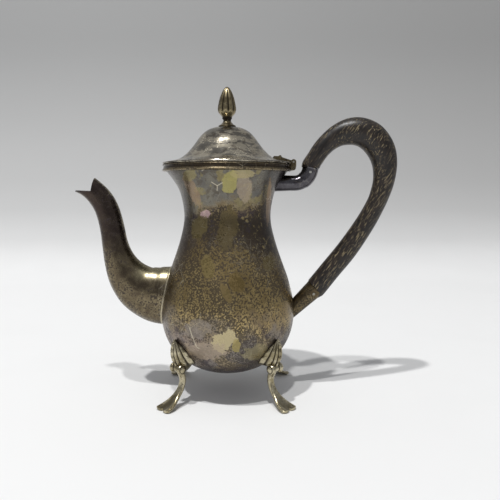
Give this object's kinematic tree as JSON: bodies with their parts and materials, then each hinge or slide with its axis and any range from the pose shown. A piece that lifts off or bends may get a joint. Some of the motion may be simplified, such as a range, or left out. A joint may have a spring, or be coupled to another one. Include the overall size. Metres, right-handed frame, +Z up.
{
  "type": "coffee pot",
  "caption": "Footed silver coffee pot with a pear-shaped body, swan-neck spout, hinged domed lid with a bud finial, scroll feet and a dark wooden loop handle.",
  "frame": {"origin": "on the table plane, under the middle of the pot's whole length and width", "axes": "+X toward the handle, the spout points along -X, +Z up, the hinge line runs along Y"},
  "size_m": [0.245, 0.1024, 0.235],
  "materials": {
    "tarnished_silver": "silver plate over base metal, polished once and now heavily tarnished: olive-gold, grey and brown mottling",
    "cast_silver": "cast and plated, rubbed bright on the high places with dark recesses",
    "dark_silver": "silver plate gone nearly black with tarnish, with a soft sheen",
    "grip_wood": "dark open-grained hardwood with fine pale flecks, satin"
  },
  "bodies": {
    "pot": {"body_shell": "tarnished_silver", "rim_moulding": "tarnished_silver", "spout_near_half": "tarnished_silver", "spout_far_half": "tarnished_silver", "hinge_body_leaf": "dark_silver", "hinge_pin": "dark_silver", "upper_socket": "dark_silver", "lower_socket": "dark_silver", "handle_grip": "grip_wood", "upper_handle_pin": "dark_silver", "lower_handle_pin": "dark_silver", "foot_front_left": "cast_silver", "foot_front_right": "cast_silver", "foot_rear_left": "cast_silver", "foot_rear_right": "cast_silver"},
    "lid": {"lid_dome": "tarnished_silver", "lid_bezel": "tarnished_silver", "finial": "cast_silver", "finial_stud": "dark_silver", "finial_nut": "dark_silver", "hinge_lid_leaf": "dark_silver"}
  },
  "joints": [
    {"name": "lid_hinge", "type": "hinge", "parent": "pot", "child": "lid", "pos_m": [0.04409, 0, 0.179], "axis": [0, 1, 0], "range_deg": [0, 95]}
  ]
}
